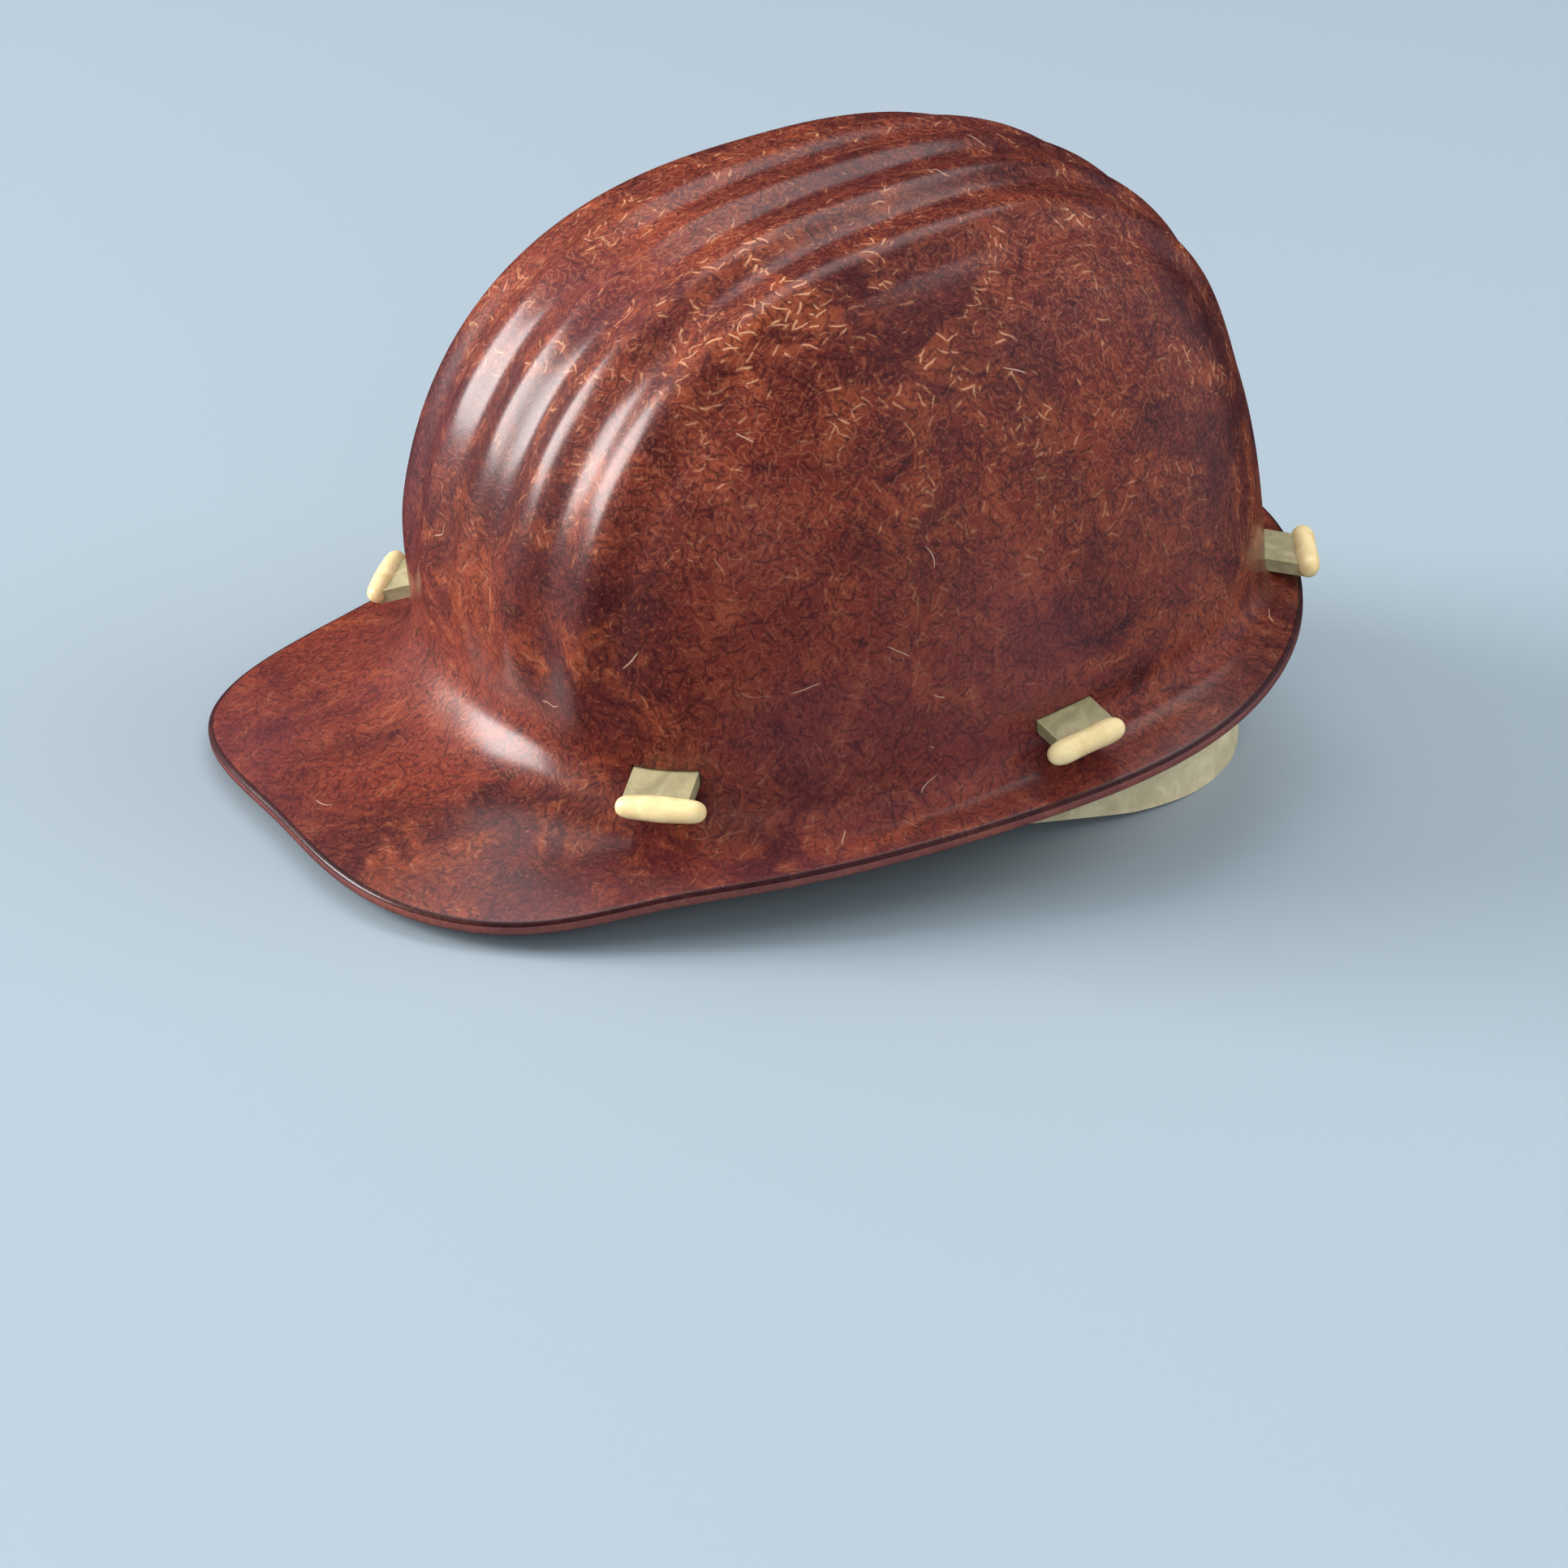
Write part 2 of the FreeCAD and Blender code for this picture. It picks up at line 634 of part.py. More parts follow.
def size_peg():
    r, h = peg_diameter / 2, peg_head / 2
    low = band_half_width - band_thickness / 2
    high = band_half_width + nape_inside + nape_thickness + seat
    stem = turned([(low, r), (high, r)], peg_spot, math.pi / 2, sides=12)
    heads = [turned([(low - 1.0, h * 0.8), (low, h)], peg_spot, math.pi / 2, sides=12),
             turned([(high, h), (high + peg_head_height, h * 0.75)], peg_spot, math.pi / 2, sides=12)]
    return stem.fuse(heads)


def sweatband():
    """Leather lining of the front of the headband, seated on its inside."""
    outer = -band_thickness / 2 - sweat_air - seat
    lining = oval_ring(outer - sweat_thickness, outer, -past_all, past_all)
    return lining.common(prism(sweat_top + sweat_bottom, -past_all, past_all))


def nape_pad():
    inside = nape_inside - seat - nape_pad_thickness
    pad = oval_ring(inside, nape_inside - seat, -past_all, past_all, nape_rear_start)
    edge = [(x, z) for x, z in nape_edge if x < nape_pad_front + 1]
    lower = [(x, z + 2.0) for x, z in edge]
    upper = [(x, z + nape_height - 2.0) for x, z in reversed(edge)]
    return pad.common(prism(lower + upper, -past_all, past_all))


# Cut and gather.
shell = make_shell()
room = make_cavity()
for slot in slots.values():
    cutter = slot_cutter(slot)
    shell = shell.cut([cutter, mirrored(cutter)])

parts = {"shell": shell}
for place, slot in slots.items():
    arm = cradle_arm(slot, room)
    parts["cradle_arm_" + place + "_left"] = arm
    parts["cradle_arm_" + place + "_right"] = mirrored(arm)
    parts["toggles_" + place] = pair(toggle(slot, toggle_shift[place]))
parts["crown_disc"] = crown_disc()
parts["crown_pad"] = crown_pad()
parts["crown_rivets"] = Part.makeCompound([pair(crown_rivet(s)) for s in slots.values()])
parts["headband"] = headband()
parts["headband_rivets"] = Part.makeCompound([pair(band_rivet(s)) for s in slots.values()])
parts["sweatband"] = sweatband()
parts["nape_strap"] = nape_strap()
parts["nape_pad"] = nape_pad()
parts["size_pegs"] = pair(size_peg())

# Stand it on the table and save it.
def lowest_tilt():
    """Nose-down tilt at which the peak's front corners and the nape strap
    touch the table together."""
    rear = Vector(nape_rear_start - band_half_width - nape_inside - nape_thickness, 0, nape_edge[-1][1])
    best = 90.0
    for i in range(200):
        b = math.radians(60) * i / 200
        p = surface_point(1.0, b) - Vector(0, 0, shell_thickness)
        best = min(best, math.degrees(math.atan2(p.z - rear.z, p.x - rear.x)))
    return best


tilt = lowest_tilt()
whole = Part.makeCompound(list(parts.values()))
whole.rotate(Vector(0, 0, 0), Vector(0, 1, 0), tilt)
box = whole.optimalBoundingBox() if hasattr(whole, "optimalBoundingBox") else whole.BoundBox
shift = Vector(-(box.XMin + box.XMax) / 2, 0, -box.ZMin)
print("tilt", round(tilt, 4), "shift", shift, "box", box)

os.makedirs("parts", exist_ok=True)
for name, shape in parts.items():
    placed = shape.copy()
    placed.rotate(Vector(0, 0, 0), Vector(0, 1, 0), tilt)
    placed.translate(shift)
    print(name, placed.isValid(), len(placed.Solids), len(placed.Faces), round(placed.Volume))
    placed.exportStep("parts/" + name + ".step")
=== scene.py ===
# %% [markdown]
# A miner's helmet of pressed, fibre-filled resin, standing on a pale table. The CAD
# frame gives every piece its place and body. This scene keeps the CAD pieces that are
# fine as they are, remakes the shell and the toggles as smooth surfaces, and paints the
# fibres, the aged polyethylene and the leather.

import math

import bpy
import numpy as np
from mathutils import Matrix, Vector


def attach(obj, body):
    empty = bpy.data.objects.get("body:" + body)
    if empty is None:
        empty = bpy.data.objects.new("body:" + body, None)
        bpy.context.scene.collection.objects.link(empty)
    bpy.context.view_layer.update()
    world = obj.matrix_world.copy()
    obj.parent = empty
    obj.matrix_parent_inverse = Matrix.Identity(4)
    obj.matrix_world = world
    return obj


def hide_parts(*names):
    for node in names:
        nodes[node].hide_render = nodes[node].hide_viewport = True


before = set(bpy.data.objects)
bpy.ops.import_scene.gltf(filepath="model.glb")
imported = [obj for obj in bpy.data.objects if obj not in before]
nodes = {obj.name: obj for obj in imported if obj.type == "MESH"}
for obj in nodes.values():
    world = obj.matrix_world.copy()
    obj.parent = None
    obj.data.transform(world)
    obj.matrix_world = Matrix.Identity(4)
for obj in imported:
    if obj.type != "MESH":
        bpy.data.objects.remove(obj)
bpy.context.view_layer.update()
print("CAD nodes:", len(nodes))

# %% [markdown]
# A helmet is easiest to describe upright: X out through the peak, Y to the wearer's
# left, Z up, in millimetres. On a table it tips forward until the front corners of its
# peak and the strap behind the head touch. One matrix carries the upright drawing to
# that stand, so no formula below has to know about the tilt. The matrix goes into the
# mesh itself, which leaves every object at the origin.

# %% Where the helmet stands
TILT = math.radians(10.6755)
SHIFT = Vector((-0.0219076, 0.0, 0.0343714))
STAND = Matrix.Translation(SHIFT) @ Matrix.Rotation(TILT, 4, "Y")


def mesh_object(name, points, faces, smooth=True):
    """Mesh from an array of points in millimetres, stood on the table in metres."""
    mesh = bpy.data.meshes.new(name)
    mesh.from_pydata(points.tolist(), [], faces)
    mesh.transform(STAND @ Matrix.Scale(0.001, 4))
    mesh.polygons.foreach_set("use_smooth", [smooth] * len(mesh.polygons))
    mesh.update()
    obj = bpy.data.objects.new(name, mesh)
    bpy.context.scene.collection.objects.link(obj)
    return obj


def ring_quads(rows, columns, flip=False):
    """Faces of a grid of points whose columns close into a ring: point (i, j) has the
    number i * columns + j, and each face takes four neighbours."""
    i, j = np.meshgrid(np.arange(rows - 1), np.arange(columns), indexing="ij")
    k = (j + 1) % columns
    quads = np.stack([i * columns + j, (i + 1) * columns + j,
                      (i + 1) * columns + k, i * columns + k], -1).reshape(-1, 4)
    return (quads[:, ::-1] if flip else quads).tolist()


# %% [markdown]
# The real shell is one moulding. Its dome is egg-shaped seen from above, its sides run
# through a hollow curve, the cove, into a brim, and the brim grows into a square peak in
# front. Sculpting or subdividing a box would lose the even curve that a press tool has,
# so the skin is a formula of two values: how far down from the crown, and the bearing
# round the head.

# %% Sizes of the shell
WALL = 3.2
DOME_LENGTH, DOME_WIDTH, DOME_HEIGHT = 116.5, 94.6, 130.5
PLAN_POWER, PROFILE_POWER = 2.5, 2.6
FULLNESS, SETBACK = 0.08, 4.0
RISE, LIFT = (24.0, 11.0, 7.0), (3.0, 2.0, 2.0)     # of the cove: front, side, rear
FLARE, COVE_PULL = 0.5, 0.62
# Bearing in degrees, reach from the middle and height of the brim's edge.
EDGE = np.array([(0, 175.0, 5.5), (17, 178.5, 4.2), (30, 165.5, 0.5), (39, 147.0, 0.0),
                 (48, 134.5, -1.0), (60, 122.5, -2.8), (83, 111.8, -5.0), (109, 117.4, -4.0),
                 (136, 122.2, -3.8), (160, 126.3, -4.8), (180, 130.0, -5.6)])

# %% [markdown]
# The edge of the brim is known at eleven bearings. A straight line between them would
# show corners, so a cubic curve joins them, with its slopes chosen so that the bend
# never jumps. It is level at both ends, where the two halves of the helmet meet.


# %% Edge of the brim
def edge_spline(column):
    """Cubic through the stations, flat at both ends. Its slopes m solve
    m[i-1] h[i] + 2 m[i] (h[i-1] + h[i]) + m[i+1] h[i-1] = 3 (h[i] d[i-1] + h[i-1] d[i]),
    h the steps of bearing and d the slopes of the straight lines between stations."""
    x, y = np.radians(EDGE[:, 0]), EDGE[:, column]
    h, d = np.diff(x), np.diff(y) / np.diff(x)
    inner = np.arange(1, len(x) - 1)
    system, wanted = np.eye(len(x)), np.zeros(len(x))
    system[inner, inner - 1] = h[1:]
    system[inner, inner] = 2 * (h[:-1] + h[1:])
    system[inner, inner + 1] = h[:-1]
    wanted[inner] = 3 * (h[1:] * d[:-1] + h[:-1] * d[1:])
    m = np.linalg.solve(system, wanted)

    def value(t):
        i = np.clip(np.searchsorted(x, t) - 1, 0, len(h) - 1)
        s = (t - x[i]) / h[i]
        return (y[i] * (1 + 2 * s) * (1 - s) ** 2 + m[i] * h[i] * s * (1 - s) ** 2
                + y[i + 1] * s * s * (3 - 2 * s) + m[i + 1] * h[i] * s * s * (s - 1))
    return value


edge_reach, edge_level = edge_spline(1), edge_spline(2)
print("reach of the edge at 0, 90 and 180 degrees:",
      [round(float(edge_reach(math.radians(a))), 1) for a in (0, 90, 180)])

# %% [markdown]
# An upright cut through the helmet is three curves in a row: the dome, the cove and the
# flat of the brim. All cuts are worked out together, as columns of one array, and then
# each is divided evenly along its own length, so that the mesh has no crowded rows.


# %% The smooth skin
def around(values, t):
    """Front, side and rear values mixed by the fourth power of the cosine."""
    front, side, rear = values
    c = np.cos(t)
    return side + (front - side) * np.maximum(c, 0) ** 4 + (rear - side) * np.maximum(-c, 0) ** 4


def sections(bearings):
    """Upright cuts at all bearings, as arrays [step, bearing] of radius and height.
    Plan and dome are superellipses, (x/A)^p + (y/B)^p = 1 and (r/R)^q + (z/H)^q = 1; the
    cove is a cubic that leaves the dome and meets the brim along their own directions."""
    t = np.abs((bearings + np.pi) % (2 * np.pi) - np.pi)
    c, s = np.abs(np.cos(t)), np.abs(np.sin(t))
    base = np.full_like(t, DOME_LENGTH)
    for _ in range(6):
        breadth = DOME_WIDTH * (1 + FULLNESS * base * np.cos(t) / DOME_LENGTH)
        base = ((c / DOME_LENGTH) ** PLAN_POWER + (s / breadth) ** PLAN_POWER) ** (-1 / PLAN_POWER)
    reach, level = edge_reach(t), edge_level(t)
    turn = np.arccos(((level + around(RISE, t)) / DOME_HEIGHT) ** (PROFILE_POWER / 2))
    u = turn * np.linspace(0, 1, 121)[:, None] ** 1.3
    dome = np.stack([base * np.sin(u) ** (2 / PROFILE_POWER),
                     DOME_HEIGHT * np.cos(u) ** (2 / PROFILE_POWER)], -1)
    run_out = FLARE * (reach - base)
    join = np.stack([base + run_out, level + around(LIFT, t)], -1)
    tip = np.stack([reach, level], -1)
    down, out = dome[-1] - dome[-2], tip - join
    down /= np.linalg.norm(down, axis=1, keepdims=True)
    out /= np.linalg.norm(out, axis=1, keepdims=True)
    first = dome[-1] + down * (COVE_PULL * (dome[-1, :, 1] - join[:, 1]))[:, None]
    second = join - out * (COVE_PULL * run_out)[:, None]
    w = np.linspace(0, 1, 25)[1:, None, None]
    cove = ((1 - w) ** 3 * dome[-1] + 3 * w * (1 - w) ** 2 * first
            + 3 * w * w * (1 - w) * second + w ** 3 * join)
    brim = join + np.linspace(0, 1, 9)[1:, None, None] * (tip - join)
    line = np.concatenate([dome, cove, brim])
    steps = np.linalg.norm(np.diff(line, axis=0), axis=2)
    return line, np.concatenate([np.zeros((1, len(t))), np.cumsum(steps, axis=0)])


def surface(shares, bearings):
    """Grid of points P[share, bearing] of the smooth outer skin: the point at a share of
    the length of its cut, set back towards the crown by the square of its height."""
    line, run = sections(bearings)
    target = shares[:, None] * run[-1]
    i = np.clip((run[None] <= target[:, None]).sum(axis=1) - 1, 0, len(run) - 2)
    start, end = np.take_along_axis(run, i, 0), np.take_along_axis(run, i + 1, 0)
    f = ((target - start) / (end - start))[..., None]
    near, far = (np.take_along_axis(line, (i + n)[..., None], 0) for n in (0, 1))
    r, z = np.moveaxis(near + f * (far - near), -1, 0)
    return np.stack([r * np.cos(bearings) - SETBACK * (np.maximum(z, 0) / DOME_HEIGHT) ** 2,
                     r * np.sin(bearings), z], -1)


def normals(grid):
    """Unit normals: the cross product of the differences down and round the grid."""
    n = np.cross(np.gradient(grid, axis=0), np.roll(grid, -1, 1) - np.roll(grid, 1, 1))
    return n / (np.linalg.norm(n, axis=2, keepdims=True) + 1e-12)


# %% [markdown]
# Five ribs run over the crown from front to rear. They stiffen the moulding and are the
# first thing that the light picks out. Each is half a cosine wave across, so crest and
# valley are equally round, and the waves spread a little towards the front. Adding
# their height along the normals keeps them upright on the curved dome.

# %% Ribs
RIB_PITCH, RIB_FAN, RIB_HEIGHT, RIBS_EACH_SIDE = 20.4, 0.033, 2.6, 2
RIB_FRONT, RIB_REAR = (20, 55), (45, 95)        # heights between which a rib fades in


def ease(t):
    """Smooth step: 3 t^2 - 2 t^3, flat at 0 and at 1."""
    t = np.clip(t, 0, 1)
    return t * t * (3 - 2 * t)


def rib_rise(grid):
    """Height of the ribs, (1 + cos 2 pi u) / 2, where u is the distance across in
    pitches, faded out where the ribs run into the cove."""
    x, y, z = grid[..., 0], np.abs(grid[..., 1]), grid[..., 2]
    u = y / (RIB_PITCH + RIB_FAN * x)
    wave = 0.5 * (1 + np.cos(2 * np.pi * u)) * (u < RIBS_EACH_SIDE + 0.5)
    front, rear = (ease((z - low) / (full - low)) for low, full in (RIB_FRONT, RIB_REAR))
    return RIB_HEIGHT * wave * np.where(x > 0, front, rear)


# %% [markdown]
# The wall could be made with a Solidify modifier, but its edge would be square, and a
# pressed edge is trimmed and rubbed round. So the rings of points go on from the outer
# skin round the edge and up the inside, one wall thickness in. Each point also carries
# a value named rim, 0 on the skins and 1 on the trimmed edge, which the resin reads to
# draw a dark line along the edge and to pale its face, a painted reflection of the table.

# %% The shell
COLUMNS, OUTER_ROWS, INNER_ROWS = 480, 150, 70
ROUND_OVER, ROUND_UNDER = 0.95, 0.6


def edge_rings(near, tip):
    """Rings round the trimmed edge: quarter circles of two radii, turning from the top
    of the edge down its face and in under it."""
    inward = near - tip
    inward /= np.linalg.norm(inward, axis=1, keepdims=True)
    up = np.array([0, 0, 1.0])
    over, under = np.radians([30, 60, 90]), np.radians([0, 45, 90])
    rings = [tip + ROUND_OVER * (inward * (1 - math.sin(a)) - up * (1 - math.cos(a))) for a in over]
    rings += [tip + inward * ROUND_UNDER * (1 - math.cos(a))
              - up * (WALL - ROUND_UNDER + ROUND_UNDER * math.sin(a)) for a in under]
    return np.stack(rings), [0.6, 0.6, 1.0, 1.0, 1.0, 1.0]


def make_shell():
    """Closed wall: outer skin with ribs, round edge, inner skin, and a point at each
    pole of the crown."""
    turns = np.linspace(-np.pi, np.pi, COLUMNS, endpoint=False)
    outer = surface(np.append(np.linspace(0.004, 0.99, OUTER_ROWS), 0.9945), turns)
    outer += normals(outer) * rib_rise(outer)[..., None]
    near, tip = surface(np.array([0.985, 1.0]), turns)
    edge, edge_rim = edge_rings(near, tip)
    inner = surface(np.linspace(0.985, 0.004, INNER_ROWS), turns)
    inner += normals(inner) * WALL
    grid = np.concatenate([outer, edge, inner])
    rim = np.concatenate([np.zeros(OUTER_ROWS), [0.5], edge_rim, np.zeros(INNER_ROWS)])
    poles = np.stack([outer[0].mean(0), inner[-1].mean(0)])
    points = np.concatenate([grid.reshape(-1, 3), poles])
    j = np.arange(COLUMNS)
    k = (j + 1) % COLUMNS
    top, last = grid.shape[0] * COLUMNS, (grid.shape[0] - 1) * COLUMNS
    faces = ring_quads(grid.shape[0], COLUMNS)
    faces += np.stack([np.full(COLUMNS, top), j, k], 1).tolist()
    faces += np.stack([last + j, np.full(COLUMNS, top + 1), last + k], 1).tolist()
    obj = mesh_object("shell_fine", points, faces)
    attribute = obj.data.attributes.new("rim", "FLOAT", "POINT")
    attribute.data.foreach_set("value", np.append(np.repeat(rim, COLUMNS), [0.0, 0.0]))
    return obj


shell = make_shell()
print("shell:", len(shell.data.vertices), "points")

# %% [markdown]
# Six arms of the cradle come out through slots just above the brim. A slot is found the
# way a template would find it: at its bearing, go down the skin to its height, and take
# the skin's own direction there. The right side mirrors the left.

# %% Where the slots are
SLOTS = {"front": (35.9, 18.2, 2.0), "side": (95.4, 8.2, -2.0), "rear": (155.5, 3.2, 1.0)}
SLOT_LENGTH, SLOT_WIDTH, SLOT_DEPTH = 18.0, 18.5, 4.6
DROOP = math.radians(15.0)


def slot_frame(bearing, height, side):
    """Middle of the slot in the wall, then the way out of it, the way across and the way
    up, as rows. The way out droops; side is 1 on the left and -1 on the right."""
    t = math.radians(bearing)
    fan = surface(np.linspace(0.3, 1, 1401), np.array([t - 0.01, t, t + 0.01]))
    i = int(np.argmax(fan[:, 1, 2] < height))
    normal = np.cross(fan[i + 8, 1] - fan[i - 8, 1], fan[i, 2] - fan[i, 0])
    normal *= np.sign(normal[0] * math.cos(t) + normal[1] * math.sin(t)) / np.linalg.norm(normal)
    centre = fan[i, 1] - normal * WALL / 2
    a = math.atan2(normal[1], normal[0])
    way = np.array([math.cos(a) * math.cos(DROOP), math.sin(a) * math.cos(DROOP), -math.sin(DROOP)])
    across = np.array([-math.sin(a), math.cos(a), 0])
    up = np.cross(way, across)
    up *= np.sign(up[2])
    return np.array([centre, way, across, up]) * (1, side, 1)


# %% [markdown]
# A toggle is a short bar with blunt, rounded ends, moulded on the arm so that the arm
# can't slip back through its slot. It is a ring of points carried along an axis, with
# the radius as the profile. A slow wave in the radius keeps it from looking turned on a
# lathe.

# %% Toggles
TAB_REACH, TOGGLE_LONG, TOGGLE_THICK, TOGGLE_LIFT = 13.0, 24.0, 6.6, 0.9


def toggle(name, centre, way, across, up):
    """Bar along s from -1 to 1 with the radius R (1 - |s|^6)^0.42, times a wave of
    3 percent."""
    rings, ring_points = 34, 28
    s = -np.cos(np.pi * np.arange(rings) / (rings - 1))
    r = TOGGLE_THICK / 2 * np.maximum(1 - np.abs(s) ** 6, 0) ** 0.42
    r = (r * (1 + 0.03 * np.sin(5 * s + centre[0])))[:, None, None]
    q = (2 * np.pi * np.arange(ring_points) / ring_points)[None, :, None]
    points = (centre + across * (s * TOGGLE_LONG / 2)[:, None, None]
              + way * (r * np.cos(q)) + up * (r * 0.97 * np.sin(q)))
    return mesh_object(name, points.reshape(-1, 3), ring_quads(rings, ring_points, flip=True))


toggles = {place: [] for place in SLOTS}
for place, (bearing, height, offset) in SLOTS.items():
    for side, word in ((1, "left"), (-1, "right")):
        centre, way, across, up = slot_frame(bearing, height, side)
        spot = centre + way * TAB_REACH + up * TOGGLE_LIFT + across * offset
        toggles[place].append(toggle("toggle_" + place + "_" + word, spot, way, across, up))
print("toggles:", sum(len(bars) for bars in toggles.values()))

# %% [markdown]
# The slots are cut with boxes, one at each slot, and the Boolean modifier. The exact
# solver keeps the wall closed, and the result is taken over as the shell's mesh, so the
# boxes can go.


# %% Cut the slots
def slot_box(bearing, height, side):
    """Box round the slot's middle: half its length, width and depth each way along the
    slot's own three directions."""
    centre, *ways = slot_frame(bearing, height, side)
    signs = np.array(np.meshgrid([-1, 1], [-1, 1], [-1, 1], indexing="ij")).reshape(3, -1).T
    corners = centre + signs * (SLOT_LENGTH / 2, SLOT_WIDTH / 2, SLOT_DEPTH / 2) @ np.array(ways)
    quads = [(0, 1, 3, 2), (4, 6, 7, 5), (0, 4, 5, 1), (2, 3, 7, 6), (0, 2, 6, 4), (1, 5, 7, 3)]
    if side < 0:
        quads = [quad[::-1] for quad in quads]
    return mesh_object("cut", corners, quads, smooth=False)


cutters = [slot_box(bearing, height, side) for bearing, height, _ in SLOTS.values() for side in (1, -1)]
for cutter in cutters:
    cut = shell.modifiers.new("slot", "BOOLEAN")
    cut.operation = "DIFFERENCE"
    cut.solver = "EXACT"
    cut.object = cutter
graph = bpy.context.evaluated_depsgraph_get()
opened = bpy.data.meshes.new_from_object(shell.evaluated_get(graph))
shell.modifiers.clear()
shell.data = opened
for cutter in cutters:
    bpy.data.objects.remove(cutter)
print("shell with slots:", len(shell.data.polygons), "faces")

# %% [markdown]
# Materials are built from nodes, and a node takes several lines to make and to wire.
# This small class turns each kind that the helmet needs into one short call.


# %% Short calls for shader nodes
class Board:
    """A node tree with a call for each kind of node used here."""

    def __init__(self, tree):
        self.tree = tree

    def node(self, kind, **settings):
        made = self.tree.nodes.new(kind)
        for key, value in settings.items():
            setattr(made, key, value)
        return made

    def plug(self, value, socket):
        if hasattr(value, "is_output"):
            self.tree.links.new(value, socket)
        elif value is not None:
            socket.default_value = value

    def where(self):
        return self.node("ShaderNodeTexCoord").outputs["Object"]

    def math(self, operation, a, b=None, c=None, clamp=False):
        made = self.node("ShaderNodeMath", operation=operation, use_clamp=clamp)
        for value, socket in zip((a, b, c), made.inputs):
            self.plug(value, socket)
        return made.outputs[0]

    def times(self, a, b):
        return self.math("MULTIPLY", a, b)

    def vector(self, operation, a, b=None, scale=None):
        made = self.node("ShaderNodeVectorMath", operation=operation)
        self.plug(a, made.inputs[0])
        self.plug(b, made.inputs[1])
        self.plug(scale, made.inputs[3])
        return made.outputs["Value" if operation in ("DOT_PRODUCT", "LENGTH") else "Vector"]

    def noise(self, where, scale, detail=4.0, rough=0.55, twist=0.0):
        made = self.node("ShaderNodeTexNoise")
        self.plug(where, made.inputs["Vector"])
        for key, value in (("Scale", scale), ("Detail", detail), ("Roughness", rough),
                           ("Distortion", twist)):
            self.plug(value, made.inputs[key])
        return made

    def ramp(self, value, low, high):
        made = self.node("ShaderNodeMapRange", interpolation_type="SMOOTHSTEP")
        for item, socket in zip((value, low, high), made.inputs):
            self.plug(item, socket)
        return made.outputs[0]

    def mix(self, factor, a, b):
        made = self.node("ShaderNodeMix", data_type="RGBA")
        self.plug(factor, made.inputs[0])
        self.plug(a, made.inputs[6])
        self.plug(b, made.inputs[7])
        return made.outputs[2]


def new_group(name, inputs, output):
    """Shader node group with named sockets; inputs and output map names to kinds."""
    tree = bpy.data.node_groups.new(name, "ShaderNodeTree")
    for way, sockets in (("INPUT", inputs), ("OUTPUT", output)):
        for key, kind in sockets.items():
            tree.interface.new_socket(key, in_out=way, socket_type="NodeSocket" + kind)
    board = Board(tree)
    return board, board.node("NodeGroupInput"), board.node("NodeGroupOutput")


def placed(board, group, **values):
    """A group placed in a material with its own values."""
    made = board.node("ShaderNodeGroup", node_tree=group)
    for key, value in values.items():
        made.inputs[key].default_value = value
    return made.outputs[0]


def new_material(name):
    material = bpy.data.materials.new(name)
    material.use_nodes = True
    return material, Board(material.node_tree), material.node_tree.nodes["Principled BSDF"]


def bump(board, height, strength, distance, shader):
    made = board.node("ShaderNodeBump")
    made.inputs["Strength"].default_value = strength
    made.inputs["Distance"].default_value = distance
    board.plug(height, made.inputs["Height"])
    board.plug(made.outputs[0], shader.inputs["Normal"])


# %% [markdown]
# The resin is filled with chopped fibres that lie flat in the skin, in drifts that
# follow the flow of the moulding. Hair curves would be far too many, so each fibre is
# drawn by a Voronoi pattern: every cell holds one, the cell's random colour turns it,
# and a soft noise makes neighbours lie alike. The resin uses this group seven times, at
# seven sizes.


